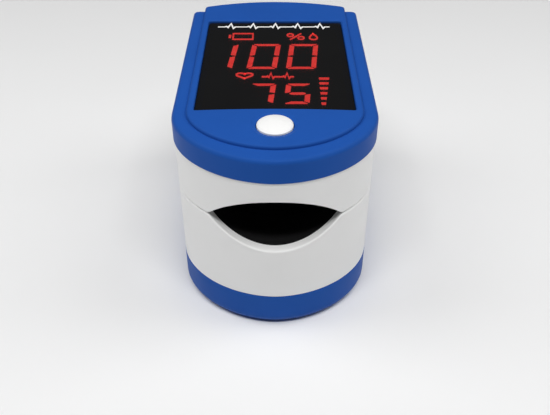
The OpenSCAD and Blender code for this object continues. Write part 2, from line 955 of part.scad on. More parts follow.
module tact_switch() {
    half = 2.25;
    height = 1.3;
    floor_h = 0.5;
    color(black) placed() difference() {
        box([-half, half], [button_y - half, button_y + half], [module_z, module_z + height]);
        translate([0, button_y, module_z + floor_h]) cylinder(h = height, r = plunger_r + button_play);
    }
}

module upper_cradle() {
    color(black) placed() difference() {
        union() {
            cradle(mouth_r_up, mouth_z_up, 1);
            cradle_rails(mouth_r_up, mouth_z_up, 18, 24.1);
        }
        cradle_window(4.5, [26, 32]);
    }
}

module upper_pad() {
    color(black) placed() turned_over() pad(mouth_r_up, 2 * seam_z - mouth_z_up);
}

module emitter_board() {
    half = 4.3;
    color(board_green) placed()
        box([-half, half], [sensor_y - half, sensor_y + half], [emitter_z, emitter_z + 0.5]);
}

module emitter_led() {
    half = 1.5;
    color("#D9D3C4") placed()
        box([-half, half], [sensor_y - half, sensor_y + half], [emitter_z - 0.5, emitter_z]);
}

module emitter_lens() {
    lens(27.9, 1.2);
}

module cover_screws() {
    color(steel) placed() at_cover_screws(cover_screw_seat) screw(6.8, 1);
}

// ---------- button ----------

module power_button() {
    cap_r = button_d / 2;
    cap_top = face_z + 0.45;
    dome = 0.2;
    edge_r = 0.3;
    flange_r = 3.7;
    flange_top = top_under - 0.1;
    color(white) placed() translate([0, button_y, 0]) rotate_extrude() polygon(concat(
        [[0, button_flange_z], [flange_r, button_flange_z], [flange_r, flange_top], [cap_r, flange_top]],
        [
            for (k = [0:4])
                let (a = 18 * k)
                [cap_r - edge_r + edge_r * cos(a), cap_top - dome - edge_r + edge_r * sin(a)]
        ],
        [[cap_r / 2, cap_top - dome / 5], [0, cap_top]]
    ));
}

module switch_plunger() {
    plunger_l = 0.8;
    color("#D9D3C4") placed()
        translate([0, button_y, button_flange_z - plunger_l]) cylinder(h = plunger_l, r = plunger_r);
}

lower_shell();
bottom_cover();
battery_tray();
battery_left();
battery_right();
battery_springs();
battery_plates();
battery_leads();
lower_cradle();
lower_pad();
sensor_board();
photodiode();
sensor_lens();
hinge_pin();
case_screws();
spring_left();
spring_right();
ribbon_cable();
battery_door();
upper_shell();
top_cover();
display_window();
display_gasket();
display_module();
display_segments();
main_board();
board_chips();
ribbon_connector();
tact_switch();
upper_cradle();
upper_pad();
emitter_board();
emitter_led();
emitter_lens();
cover_screws();
power_button();
switch_plunger();
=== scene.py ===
import json
import math

import bmesh
import bpy
from mathutils import Matrix, Vector


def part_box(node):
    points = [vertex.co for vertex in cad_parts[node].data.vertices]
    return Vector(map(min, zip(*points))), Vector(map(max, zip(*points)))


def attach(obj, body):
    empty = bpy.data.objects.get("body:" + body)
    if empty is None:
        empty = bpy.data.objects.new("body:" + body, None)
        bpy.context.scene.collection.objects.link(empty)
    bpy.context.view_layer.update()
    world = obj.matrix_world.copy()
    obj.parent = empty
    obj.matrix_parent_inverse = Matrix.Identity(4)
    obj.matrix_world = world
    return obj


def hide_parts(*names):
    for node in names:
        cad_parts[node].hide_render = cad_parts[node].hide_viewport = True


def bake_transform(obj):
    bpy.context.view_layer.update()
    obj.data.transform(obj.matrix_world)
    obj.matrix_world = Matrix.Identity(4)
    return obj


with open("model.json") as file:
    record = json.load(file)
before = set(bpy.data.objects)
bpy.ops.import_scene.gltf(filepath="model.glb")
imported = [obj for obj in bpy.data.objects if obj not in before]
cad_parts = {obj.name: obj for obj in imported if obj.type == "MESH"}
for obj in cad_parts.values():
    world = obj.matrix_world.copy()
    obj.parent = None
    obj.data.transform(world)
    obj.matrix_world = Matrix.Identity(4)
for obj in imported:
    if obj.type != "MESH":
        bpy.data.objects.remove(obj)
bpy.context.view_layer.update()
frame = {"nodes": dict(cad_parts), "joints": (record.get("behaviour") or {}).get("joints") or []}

# Lengths are in millimetres until at() turns them into metres. Shapes are drawn with y = 0 at the front
# edge of the rim, as the casing is, and at() moves them so that the origin is the centre of the footprint.
NODES = frame["nodes"]
MM = 0.001


def box_mm(node):
    """Lowest and highest corner of a CAD node in millimetres, with y from the front edge of the rim"""
    low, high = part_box(node)
    return Vector(low) / MM + Vector((0, FRONT, 0)), Vector(high) / MM + Vector((0, FRONT, 0))


FRONT = -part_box("top_cover")[0].y / MM
COVER_LOW, COVER_HIGH = box_mm("top_cover")
HALF_W = COVER_HIGH.x
LENGTH = COVER_HIGH.y
FACE_Z = COVER_HIGH.z
RIM_Z = box_mm("upper_shell")[1].z
BASE_H = box_mm("bottom_cover")[1].z
HINGE = next(j for j in frame["joints"] if j["name"] == "jaw_hinge")["pos_m"]
HINGE_Y = HINGE[1] / MM + FRONT
SEAM_Z = HINGE[2] / MM

# Outline
NOSE_D = 14.4
NOSE_POWER = 1.87
TAIL_HALF = 14.6
SHOULDER_Y = LENGTH - 3.5
TAIL_SAG = 2.7
TAIL_R = (TAIL_HALF ** 2 + TAIL_SAG ** 2) / (2 * TAIL_SAG)
TAIL_CORNER = 0.45
SHOULDER_R = 0.8
NOTCH_R = 0.3
# Points along the straight sides, close together where the slope behind the hinge begins
SIDE_YS = (20, 28, 36, 41, 41.5, 41.8, 42.1, 42.4, 42.9, 48)
SHELL_STEP = 0.2
BASE_STEP = 0.15
INNER_STEP = 1.86
CORE_STEP = 1.82
COVER_WALL = 1.75
FACE_SIDE = HALF_W - TAIL_HALF
FACE_FRONT = 3.05

# Heights
RIM_TOP = FACE_Z - 0.6
TOP_UNDER = RIM_TOP - 1.6
FLOOR_T = 2
SEAM_HALF = 0.1
PINCH_Y = HINGE_Y - 1
PINCH = math.radians(12.5)
SEAM_BEND = 0.4

# Finger opening
MOUTH_HALF = 11
MOUTH_UP = 5.2
MOUTH_DOWN = 5
STOP_Y = 36.6
PAD_END = box_mm("lower_pad")[1].y
PAD_T = 1.5
SENSOR_Y = 22
LENS_R = 3.5

# Window and button
WINDOW_LOW, WINDOW_HIGH = box_mm("display_window")
WINDOW_W = 26.6
WINDOW_Y = 13.75
WINDOW_L = 35.1
WINDOW_BOW = 0.5
WINDOW_CORNER = 0.6
BUTTON_LOW, BUTTON_HIGH = box_mm("power_button")
BUTTON_Y = (BUTTON_LOW.y + BUTTON_HIGH.y) / 2
BUTTON_R = 2.95

# Battery door
DOOR_HALF = 12.3
DOOR_FRONT = 10
BASE_R = 2.2

# Display rows
TALL_ROW_Y = 36.2
SHORT_ROW_Y = 21.9
TALL_DIGIT = (5.5, 10.05)
SHORT_DIGIT = (4.45, 6.85)
ICON_STROKE = 0.32

# Distances in metres within which points of a mesh are joined
COPY_WELD = 1e-7
CUT_WELD = 2e-6


def at(x, y, z):
    return Vector((x, y - FRONT, z)) * MM


# ---------- plan outlines, listed anticlockwise from the front ----------

def rounded(points):
    """The outline through (x, y, radius) points, with each corner that has a radius drawn as a curve"""
    steps = 6
    out = []
    for k, (x, y, r) in enumerate(points):
        here = Vector((x, y))
        if r == 0:
            out.append(here)
            continue
        start = here + (Vector(points[k - 1][:2]) - here).normalized() * r
        end = here + (Vector(points[(k + 1) % len(points)][:2]) - here).normalized() * r
        for j in range(steps + 1):
            t = j / steps
            out.append((1 - t) ** 2 * start + 2 * t * (1 - t) * here + t * t * end)
    return out


def mirrored(half):
    """A whole outline from its right half, whose first and last points lie on the middle line"""
    return half + [Vector((-p[0], p[1])) for p in reversed(half[1:-1])]


def nose_y(x, ix, iy):
    """Front edge of the nose at x, inset ix at the sides and iy at the front"""
    share = min(abs(x) / (HALF_W - ix), 1)
    return NOSE_D - (NOSE_D - iy) * (1 - share ** NOSE_POWER) ** (1 / NOSE_POWER)


def nose_xs(ix):
    """Stations across the right half of the nose: fixed ones up to the mouth's end, then to the side"""
    fixed = [0.5 * k for k in range(21)]
    fixed += [10.2 + 0.15 * k for k in range(12)]
    last = 12.2
    side = HALF_W - ix - last
    return fixed + [last + side * math.sin(math.radians(6 * k)) for k in range(16)]


def tail_points(i):
    """Right half of the tail's curved back, from its corner to the middle line, inset by i"""
    def back(x):
        return LENGTH - TAIL_R + math.sqrt((TAIL_R - i) ** 2 - x * x)
    half = TAIL_HALF - i
    arc = [(half * s, back(half * s), 0) for s in (0.9, 0.8, 0.6, 0.4, 0.2)]
    return [(half, back(half), TAIL_CORNER)] + arc + [(0, LENGTH - i, 0)]


def plan(i):
    """The whole outline, with its shoulders, inset by i"""
    side = HALF_W - i
    nose = [(x, nose_y(x, i, i), 0) for x in nose_xs(i)]
    straight = [(side, y, 0) for y in SIDE_YS]
    shoulder = [(side, SHOULDER_Y - i, SHOULDER_R), (TAIL_HALF - i, SHOULDER_Y - i, NOTCH_R)]
    return mirrored(rounded(nose + straight + shoulder + tail_points(i)))


def front_plan(i):
    """The nose and the straight sides, square behind the shoulders, inset by i"""
    side = HALF_W - i
    nose = [(x, nose_y(x, i, i), 0) for x in nose_xs(i)]
    return mirrored(rounded(nose + [(side, SHOULDER_Y - i, SHOULDER_R), (0, SHOULDER_Y - i, 0)]))


def face_plan(i):
    """The raised face, whose sides run straight into the tail, inset by i"""
    ix = FACE_SIDE + i
    nose = [(x, nose_y(x, ix, FACE_FRONT + i), 0) for x in nose_xs(ix)]
    return mirrored(rounded(nose + tail_points(i)))


def window_plan(i):
    """The window with its bowed front edge and its small corner radius, inset by i"""
    half = WINDOW_W / 2 - i
    front = [(half * k / 8, WINDOW_Y + i + WINDOW_BOW * (1 - (k / 8) ** 2), 0) for k in range(8)]
    corners = [(half, WINDOW_Y + i, WINDOW_CORNER), (half, WINDOW_Y + WINDOW_L - i, WINDOW_CORNER)]
    return mirrored(rounded(front + corners + [(0, WINDOW_Y + WINDOW_L - i, 0)]))


def rectangle(x, y, corner):
    """A plan function for a rectangle from x[0] to x[1] and y[0] to y[1] with rounded corners"""
    def outline(i):
        return rounded([(x[0] + i, y[0] + i, corner), (x[1] - i, y[0] + i, corner),
                        (x[1] - i, y[1] - i, corner), (x[0] + i, y[1] - i, corner)])
    return outline


def circle(x, y, r):
    """A plan function for a circle"""
    def outline(i):
        return [Vector((x + (r - i) * math.cos(math.tau * k / 48), y + (r - i) * math.sin(math.tau * k / 48)))
                for k in range(48)]
    return outline


def edge(r, z, turn=1, steps=5):
    """(inset, z) pairs of a round edge that ends flat at z: turn is 1 for an upper edge and -1 for a lower one"""
    angles = [math.pi / 2 * k / steps for k in range(steps + 1)]
    return [(r * (1 - math.cos(a)), z - turn * r * (1 - math.sin(a))) for a in angles]


# ---------- mesh helpers ----------

def mesh_object(name, bm):
    """An object from a bmesh, with its faces turned outwards"""
    bmesh.ops.recalc_face_normals(bm, faces=bm.faces)
    mesh = bpy.data.meshes.new(name)
    bm.to_mesh(mesh)
    bm.free()
    obj = bpy.data.objects.new(name, mesh)
    bpy.context.scene.collection.objects.link(obj)
    return obj


def strip(bm, first, second, closed=True):
    """Faces between two rows of vertices"""
    count = len(first)
    for k in range(count if closed else count - 1):
        j = (k + 1) % count
        bm.faces.new((first[k], first[j], second[j], second[k]))


def stack(name, outline, levels):
    """A closed solid whose (inset, z) levels are outlines one above the other"""
    bm = bmesh.new()
    rows = [[bm.verts.new(at(p[0], p[1], z)) for p in outline(i)] for i, z in levels]
    for low, high in zip(rows, rows[1:]):
        strip(bm, low, high)
    bm.faces.new(list(reversed(rows[0])))
    bm.faces.new(rows[-1])
    return mesh_object(name, bm)


def wall_ring(name, section):
    """A closed wall round the whole outline; section is a loop of (inset, height function of x and y)"""
    bm = bmesh.new()
    rows = [[bm.verts.new(at(p[0], p[1], z(p[0], p[1]))) for p in plan(i)] for i, z in section]
    for low, high in zip(rows, rows[1:] + rows[:1]):
        strip(bm, low, high)
    return mesh_object(name, bm)


def lathe(name, profile, place, steps):
    """A solid turned round the local Z axis from (radius, z) points, set in place by a matrix in metres"""
    bm = bmesh.new()
    rows = []
    for r, z in profile:
        if r == 0:
            rows.append([bm.verts.new(Vector((0, 0, z)) * MM)])
        else:
            turn = [math.tau * k / steps for k in range(steps)]
            rows.append([bm.verts.new(Vector((r * math.cos(a), r * math.sin(a), z)) * MM) for a in turn])
    for low, high in zip(rows, rows[1:]):
        if len(low) == 1 or len(high) == 1:
            tip, ring = (low[0], high) if len(low) == 1 else (high[0], low)
            for k in range(steps):
                bm.faces.new((tip, ring[k], ring[(k + 1) % steps]))
        else:
            strip(bm, low, high)
    if len(rows[0]) == 1 and len(rows[-1]) > 1:
        bm.faces.new(rows[-1])
    obj = mesh_object(name, bm)
    obj.data.transform(place)
    return obj


def upright(x, y, z=0):
    """Keeps a lathe's axis along +Z"""
    return Matrix.Translation(at(x, y, z))


def along_y(x, y, z, turn=1):
    """Turns a lathe's axis along +Y, or along -Y when turn is -1"""
    return Matrix.Translation(at(x, y, z)) @ Matrix.Rotation(-turn * math.pi / 2, 4, "X")


def tube(name, points, r):
    """A round wire of radius r along a list of points in metres, with closed ends"""
    sides = 12
    bm = bmesh.new()
    rows = []
    side = Vector((1, 0, 0))
    for k, p in enumerate(points):
        ahead = (points[min(k + 1, len(points) - 1)] - points[max(k - 1, 0)]).normalized()
        side = side - ahead * side.dot(ahead)
        if side.length < 0.1:
            side = ahead.orthogonal()
        side.normalize()
        up = ahead.cross(side)
        turn = [math.tau * j / sides for j in range(sides)]
        rows.append([bm.verts.new(p + r * MM * (math.cos(a) * side + math.sin(a) * up)) for a in turn])
    for low, high in zip(rows, rows[1:]):
        strip(bm, low, high)
    bm.faces.new(list(reversed(rows[0])))
    bm.faces.new(rows[-1])
    return mesh_object(name, bm)


def apply_modifiers(obj):
    """Writes an object's modifiers into its mesh"""
    graph = bpy.context.evaluated_depsgraph_get()
    mesh = bpy.data.meshes.new_from_object(obj.evaluated_get(graph))
    obj.modifiers.clear()
    obj.data = mesh


def combine(obj, tool, operation):
    """Adds, cuts or keeps with another solid, which is used up"""
    step = obj.modifiers.new("solid", "BOOLEAN")
    step.operation = operation
    step.solver = "EXACT"
    step.object = tool
    apply_modifiers(obj)
    bpy.data.objects.remove(tool)
    return obj


def cut(obj, *tools):
    for tool in tools:
        combine(obj, tool, "DIFFERENCE")
    return obj


def add(obj, *tools):
    for tool in tools:
        combine(obj, tool, "UNION")
    return obj


def block(x, y, z):
    """A block from x[0] to x[1], y[0] to y[1] and z[0] to z[1]"""
    return stack("block", rectangle(x, y, 0), [(0, z[0]), (0, z[1])])


def both_sides(make):
    """make(1) and make(-1) for the right and the left"""
    return [make(1), make(-1)]


def cad_copy(node):
    """A closed copy of a CAD node's mesh, to cut up"""
    bm = bmesh.new()
    bm.from_mesh(NODES[node].data)
    bmesh.ops.remove_doubles(bm, verts=bm.verts, dist=COPY_WELD)
    return mesh_object("copy_of_" + node, bm)


def smooth(obj, angle=32, weighted=True):
    """Smooth shading with creases sharper than angle kept, weighed by face area"""
    bm = bmesh.new()
    bm.from_mesh(obj.data)
    for face in bm.faces:
        face.smooth = True
    for line in bm.edges:
        line.smooth = line.calc_face_angle(math.pi) < math.radians(angle)
    bm.to_mesh(obj.data)
    bm.free()
    if weighted:
        step = obj.modifiers.new("normals", "WEIGHTED_NORMAL")
        step.keep_sharp = True
        step.weight = 60
    return obj


def bevel(obj, width):
    """Rounds the sharp edges"""
    step = obj.modifiers.new("edges", "BEVEL")
    step.width = width * MM
    step.segments = 2
    step.limit_method = "ANGLE"
    step.angle_limit = math.radians(35)
    step.use_clamp_overlap = True
    step.miter_outer = "MITER_ARC"
    return obj


def tidy_mesh(obj):
    """Joins points that a cut left on top of each other, drops faces without area and closes pinholes"""
    bm = bmesh.new()
    bm.from_mesh(obj.data)
    bmesh.ops.remove_doubles(bm, verts=bm.verts, dist=CUT_WELD)
    bmesh.ops.dissolve_degenerate(bm, edges=bm.edges, dist=CUT_WELD)
    bmesh.ops.delete(bm, geom=[line for line in bm.edges if line.is_wire], context="EDGES")
    gaps = [line for line in bm.edges if line.is_boundary]
    if gaps:
        bmesh.ops.holes_fill(bm, edges=gaps, sides=8)
    bm.to_mesh(obj.data)
    bm.free()
    return obj


# ---------- materials ----------

class Shader:
    """Builds one procedural material; every colour pattern lies in the object's own coordinates"""

    def __init__(self, name, rough, metal=0, **sockets):
        self.material = bpy.data.materials.new(name)
        self.material.use_nodes = True
        self.tree = self.material.node_tree
        self.main = self.tree.nodes["Principled BSDF"]
        self.main.inputs["Metallic"].default_value = metal
        self.main.inputs["Roughness"].default_value = rough
        for socket, value in sockets.items():
            self.main.inputs[socket.replace("_", " ")].default_value = value
        self.coords = self.node("ShaderNodeTexCoord").outputs["Object"]

    def node(self, kind, **values):
        made = self.tree.nodes.new(kind)
        for key, value in values.items():
            setattr(made, key, value)
        return made

    def wire(self, source, target):
        self.tree.links.new(source, target)

    def stretched(self, scale):
        """The object's coordinates, scaled per axis"""
        step = self.node("ShaderNodeMapping")
        step.inputs["Scale"].default_value = scale
        self.wire(self.coords, step.inputs["Vector"])
        return step.outputs["Vector"]

    def noise(self, size, detail, stretch=(1, 1, 1)):
        """Noise with features about size millimetres across"""
        step = self.node("ShaderNodeTexNoise")
        step.inputs["Scale"].default_value = 1 / (size * MM)
        step.inputs["Detail"].default_value = detail
        self.wire(self.stretched(stretch), step.inputs["Vector"])
        return step.outputs["Fac"]

    def ramp(self, value, stops):
        """Colours along a value, from (position, colour) stops"""
        step = self.node("ShaderNodeValToRGB")
        while len(step.color_ramp.elements) < len(stops):
            step.color_ramp.elements.new(0.5)
        for element, (position, colour) in zip(step.color_ramp.elements, stops):
            element.position = position
            element.color = (*colour, 1)
        self.wire(value, step.inputs["Fac"])
        return step.outputs["Color"]

    def spread(self, value, low, high):
        """A value between 0.3 and 0.7 spread from low to high"""
        step = self.node("ShaderNodeMapRange")
        step.inputs["From Min"].default_value = 0.3
        step.inputs["From Max"].default_value = 0.7
        step.inputs["To Min"].default_value = low
        step.inputs["To Max"].default_value = high
        self.wire(value, step.inputs["Value"])
        return step.outputs["Result"]

    def colour(self, base, shift, size):
        """A base colour that drifts by a share over patches of a size"""
        darker = tuple(c * (1 - shift) for c in base)
        lighter = tuple(min(1, c * (1 + shift)) for c in base)
        drift = self.ramp(self.noise(size, 2), [(0.3, darker), (0.7, lighter)])
        self.wire(drift, self.main.inputs["Base Color"])

    def grain(self, value, height):
        """Relief from a value, height in millimetres"""
        step = self.node("ShaderNodeBump")
        step.inputs["Distance"].default_value = height * MM
        step.inputs["Strength"].default_value = 1
        self.wire(value, step.inputs["Height"])
        self.wire(step.outputs["Normal"], self.main.inputs["Normal"])

    def roughness(self, value, low, high):
        self.wire(self.spread(value, low, high), self.main.inputs["Roughness"])


def moulded(name, base, rough, grain_size, grain_height, shift, **sockets):
    """Moulded plastic with a fine spark-eroded grain and slight flow marks"""
    shader = Shader(name, rough, **sockets)
    shader.colour(base, shift, 9)
    shader.roughness(shader.noise(5, 4), rough - 0.04, rough + 0.06)
    shader.grain(shader.noise(grain_size, 2), grain_height)
    return shader.material


def metal(name, base, rough, stretch, shift=0.06):
    """Plated metal with fine drawing marks along the axis that stretch leaves short"""
    shader = Shader(name, rough, 1)
    shader.colour(base, shift, 1.5)
    marks = shader.noise(0.12, 4, stretch)
    shader.roughness(marks, rough - 0.08, rough + 0.12)
    shader.grain(marks, 0.0015)
    return shader.material


def silicone():
    shader = Shader("silicone", 0.62, Specular_IOR_Level=0.25)
    shader.colour((0.0045, 0.0045, 0.005), 0.15, 4)
    shader.roughness(shader.noise(1.2, 4), 0.56, 0.72)
    shader.grain(shader.noise(0.09, 3), 0.003)
    return shader.material


def foam():
    shader = Shader("foam", 0.95, Specular_IOR_Level=0.1)
    shader.colour((0.008, 0.008, 0.008), 0.3, 0.3)
    cells = shader.node("ShaderNodeTexVoronoi")
    cells.inputs["Scale"].default_value = 1 / (0.18 * MM)
    shader.wire(shader.coords, cells.inputs["Vector"])
    shader.grain(cells.outputs["Distance"], 0.03)
    return shader.material


def smoked_window():
    """Smoked acrylic, mostly black, with a faint haze in its gloss"""
    shader = Shader("smoked_acrylic", 0.12, Alpha=0.8, Specular_IOR_Level=0.05)
    shader.colour((0.0105, 0.0105, 0.011), 0.05, 12)
    shader.roughness(shader.noise(2.5, 4), 0.1, 0.16)
    return shader.material


def lit_red():
    """Light guides of the display, with a glow that drifts slightly from place to place"""
    shader = Shader("lit_segments", 0.4)
    shader.colour((0.8, 0.03, 0.03), 0.05, 1)
    glow = shader.ramp(shader.noise(1.4, 2), [(0.3, (0.86, 0.035, 0.03)), (0.7, (1, 0.06, 0.05))])
    shader.wire(glow, shader.main.inputs["Emission Color"])
    shader.main.inputs["Emission Strength"].default_value = 16
    return shader.material


def cell_skin():
    """Printed sleeve of a cell: a dark body with a thin grey line and a copper band at one end"""
    shader = Shader("cell_sleeve", 0.32, 0.55)
    apart = shader.node("ShaderNodeSeparateXYZ")
    shader.wire(shader.coords, apart.inputs["Vector"])
    along = shader.node("ShaderNodeMapRange")
    low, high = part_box("battery_left")
    along.inputs["From Min"].default_value = low.y
    along.inputs["From Max"].default_value = high.y
    shader.wire(apart.outputs["Y"], along.inputs["Value"])
    steel_end = (0.55, 0.55, 0.56)
    copper = (0.46, 0.2, 0.09)
    dark = (0.018, 0.02, 0.026)
    line = (0.4, 0.4, 0.42)
    band = shader.ramp(along.outputs["Result"], [
        (0, steel_end), (0.012, dark), (0.3, dark), (0.302, line), (0.312, line),
        (0.314, dark), (0.7, dark), (0.702, copper), (0.955, copper), (0.957, steel_end),
    ])
    shader.wire(band, shader.main.inputs["Base Color"])
    shader.roughness(shader.noise(1.5, 4), 0.26, 0.4)
    shader.grain(shader.noise(0.3, 3), 0.002)
    return shader.material


def circuit_board():
    """Green solder mask over tracks, with the bare weave faintly showing"""
    shader = Shader("solder_mask", 0.3, Coat_Weight=0.3)
    tracks = shader.node("ShaderNodeTexBrick", offset=0.37, squash=0.6)
    tracks.inputs["Color1"].default_value = (0.012, 0.12, 0.05, 1)
    tracks.inputs["Color2"].default_value = (0.02, 0.17, 0.075, 1)
    tracks.inputs["Mortar"].default_value = (0.03, 0.26, 0.11, 1)
    tracks.inputs["Scale"].default_value = 1 / (1.6 * MM)
    tracks.inputs["Mortar Size"].default_value = 0.035
    shader.wire(shader.coords, tracks.inputs["Vector"])
    shader.wire(tracks.outputs["Color"], shader.main.inputs["Base Color"])
    shader.roughness(shader.noise(0.5, 3), 0.24, 0.38)
    shader.grain(tracks.outputs["Fac"], 0.012)
    return shader.material


def ribbon_film():
    """Amber film over parallel copper conductors"""
    shader = Shader("ribbon_film", 0.3, Coat_Weight=0.4)
    lines = shader.node("ShaderNodeTexWave", bands_direction="X")
    lines.inputs["Scale"].default_value = 0.314 / MM
    shader.wire(shader.coords, lines.inputs["Vector"])
    stripes = shader.ramp(lines.outputs["Fac"], [(0.35, (0.3, 0.1, 0.018)), (0.6, (0.62, 0.28, 0.06))])
    shader.wire(stripes, shader.main.inputs["Base Color"])
    shader.roughness(shader.noise(0.8, 3), 0.25, 0.4)
    shader.grain(lines.outputs["Fac"], 0.02)
    return shader.material


def red_lens():
    shader = Shader("red_resin", 0.08, Alpha=0.85)
    shader.colour((0.11, 0.006, 0.01), 0.12, 2)
    shader.roughness(shader.noise(1.5, 3), 0.05, 0.14)
    return shader.material


MATERIALS = {
    "shell_white": moulded("shell_plastic", (0.86, 0.86, 0.855), 0.36, 0.35, 0.0005, 0.012,
                           Specular_IOR_Level=0.5),
    "cover_blue": moulded("cover_plastic", (0.015, 0.084, 0.37), 0.44, 0.35, 0.0005, 0.03,
                          Specular_IOR_Level=0.09, Specular_Tint=(0.35, 0.62, 1, 1)),
    "button_white": moulded("button_plastic", (0.93, 0.93, 0.92), 0.38, 0.35, 0.0005, 0.01),
    "silicone_black": silicone(),
    "plastic_black": moulded("inner_plastic", (0.014, 0.014, 0.016), 0.5, 0.22, 0.004, 0.1),
    "foam_black": foam(),
    "window_smoke": smoked_window(),
    "segment_red": lit_red(),
    "cell_sleeve": cell_skin(),
    "steel": metal("zinc_steel", (0.6, 0.61, 0.63), 0.3, (0.15, 1, 1)),
    "nickel_plate": metal("nickel_plate", (0.66, 0.63, 0.57), 0.24, (1, 1, 0.15)),
    "lead_red": moulded("lead_sleeve", (0.45, 0.012, 0.015), 0.42, 0.3, 0.002, 0.05),
    "board_green": circuit_board(),
    "chip_black": moulded("chip_epoxy", (0.016, 0.016, 0.018), 0.55, 0.12, 0.004, 0.1),
    "lens_red": red_lens(),
    "led_cream": moulded("cream_resin", (0.68, 0.6, 0.44), 0.4, 0.2, 0.002, 0.04),
    "ribbon_amber": ribbon_film(),
    "connector_cream": moulded("connector_nylon", (0.7, 0.64, 0.5), 0.45, 0.25, 0.003, 0.04),
}


def dress(obj, slot):
    """Gives a piece its material"""
    obj.data.materials.clear()
    obj.data.materials.append(MATERIALS[slot])


def show(obj, body, slot, *nodes):
    """Sets a new piece on its body, with its finish and the CAD nodes that it stands for"""
    dress(obj, slot)
    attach(obj, body)
    if nodes:
        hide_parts(*nodes)
    return obj


# ---------- jaws ----------

def soft_max(a, b, reach):
    """The larger of a and b, with the corner between them rounded"""
    near = max(reach - abs(a - b), 0) / reach
    return max(a, b) + near * near * reach / 4


def seam_drop(x, y, rise):
    """How far a jaw's edge lies from the seam: the seam's gap, the arc of the mouth, the slope at the back"""
    drop = soft_max(SEAM_HALF, SEAM_HALF + (y - PINCH_Y) * math.tan(PINCH), SEAM_BEND)
    if y < NOSE_D:
        r = (MOUTH_HALF ** 2 + rise ** 2) / (2 * rise)
        arc = rise - r + math.sqrt(max(r * r - x * x, 0))
        drop = soft_max(drop, arc, SEAM_BEND)
    return drop


def lower_edge(x, y):
    return SEAM_Z - seam_drop(x, y, MOUTH_DOWN)


def upper_edge(x, y):
    return SEAM_Z + seam_drop(x, y, MOUTH_UP)


def level(z):
    return lambda x, y: z


def above(height, dz):
    return lambda x, y: height(x, y) + dz


def inner_parts(node, z, mouth_z):
    """What a CAD shell has inside its walls between two heights, without traces of the wall by the mouth"""
    core = combine(cad_copy(node), stack("limit", plan, [(CORE_STEP, z[0]), (CORE_STEP, z[1])]), "INTERSECT")
    return cut(core, block((-HALF_W, HALF_W), (-1, 7), mouth_z))


def lower_shell():
    lip = 0.42
    foot = 0.22
    section = [(SHELL_STEP + i, level(z)) for i, z in reversed(edge(foot, BASE_H, -1))]
    section += [(SHELL_STEP + i, above(lower_edge, z)) for i, z in edge(lip, 0)]
    section += [(INNER_STEP, above(lower_edge, 0)), (INNER_STEP, level(BASE_H))]
    shell = wall_ring("lower_shell_casing", section)
    core = inner_parts("lower_shell", (0, 26), (15, 26))
    add(shell, core, lanyard_lug())
    return smooth(tidy_mesh(shell))


def lanyard_lug():
    """Eye for a wrist cord beside the tail, with a flared hole"""
    x, y, z = TAIL_HALF + 0.85, SHOULDER_Y + 1.5, 12
    r = 1.5
    root_x, root_y = TAIL_HALF - 0.8, SHOULDER_Y - 0.8
    def outline(i):
        return rounded([(root_x, root_y + i, 0), (x + r - i, root_y + i, 0),
                        (x + r - i, y + r - i, r), (x - r, y + r - i, 0.3), (root_x, y + r - i, 0)])
    lug = stack("lug", outline, edge(0.35, z, -1)[::-1] + edge(0.35, z + 2))
    flare = [(0, -1), (1.25, -1), (1.25, -0.05), (0.95, 0.12), (0.8, 0.35), (0.8, 1.65), (0.95, 1.88),
             (1.25, 2.05), (1.25, 3), (0, 3)]
    return cut(lug, lathe("eye", flare, upright(x, y, z), 32))


def upper_shell():
    lip = 0.22
    section = [(SHELL_STEP + i, above(upper_edge, z)) for i, z in reversed(edge(lip, 0, -1))]
    section += [(SHELL_STEP, level(RIM_Z)), (INNER_STEP, level(RIM_Z)), (INNER_STEP, above(upper_edge, 0))]
    shell = wall_ring("upper_shell_casing", section)
    add(shell, inner_parts("upper_shell", (19, RIM_Z), (19, RIM_Z + 1)))
    return smooth(tidy_mesh(shell))


def top_cover():
    rim_r = 0.85
    face_r = 0.55
    foot = [(0.15, RIM_Z), (0.04, RIM_Z + 0.04), (0, RIM_Z + 0.15)]
    rim = stack("top_cover_casing", front_plan, foot + edge(rim_r, RIM_TOP))
    groove = [(-0.12, RIM_TOP - 0.07), (-0.16, RIM_TOP - 0.05), (-0.24, RIM_TOP - 0.02),
              (-0.36, RIM_TOP), (-0.36, FACE_Z + 1)]
    cut(rim, stack("groove", face_plan, groove))
    add(rim, stack("face", face_plan, foot + edge(face_r, FACE_Z)))
    cut(rim, stack("hollow", plan, [(COVER_WALL, RIM_Z - 1), (COVER_WALL, TOP_UNDER + 0.02)]))
    seat = WINDOW_LOW.z
    chamfer = 0.14
    cut(rim, stack("window", window_plan, [(0, seat), (0, FACE_Z - chamfer), (-chamfer, FACE_Z),
                                           (-chamfer, FACE_Z + 1)]))
    cut(rim, stack("sight", window_plan, [(1, RIM_Z), (1, FACE_Z + 1)]))
    hole = BUTTON_R + 0.15
    deep, wide = 0.24, 0.85
    dish = [(0, -6), (hole, -6), (hole, -deep)]
    dish += [(hole + wide * t, -deep + deep * t * t * (3 - 2 * t)) for t in (0.2, 0.4, 0.6, 0.8, 1)]
    dish += [(hole + 0.95, 1), (0, 1)]
    cut(rim, lathe("button_hole", dish, upright(0, BUTTON_Y, FACE_Z), 96))
    limit = stack("limit", plan, [(1.8, COVER_LOW.z - 1), (1.8, TOP_UNDER + 0.05)])
    add(rim, combine(cad_copy("top_cover"), limit, "INTERSECT"))
    return smooth(tidy_mesh(rim))


def base_block(name, top):
    """Solid coloured base with its round lower edge"""
    return stack(name, plan, [(BASE_STEP + i, z) for i, z in edge(BASE_R, 0, -1, 9)[::-1]] + [
        (BASE_STEP, top - 0.12), (BASE_STEP + 0.12, top)])


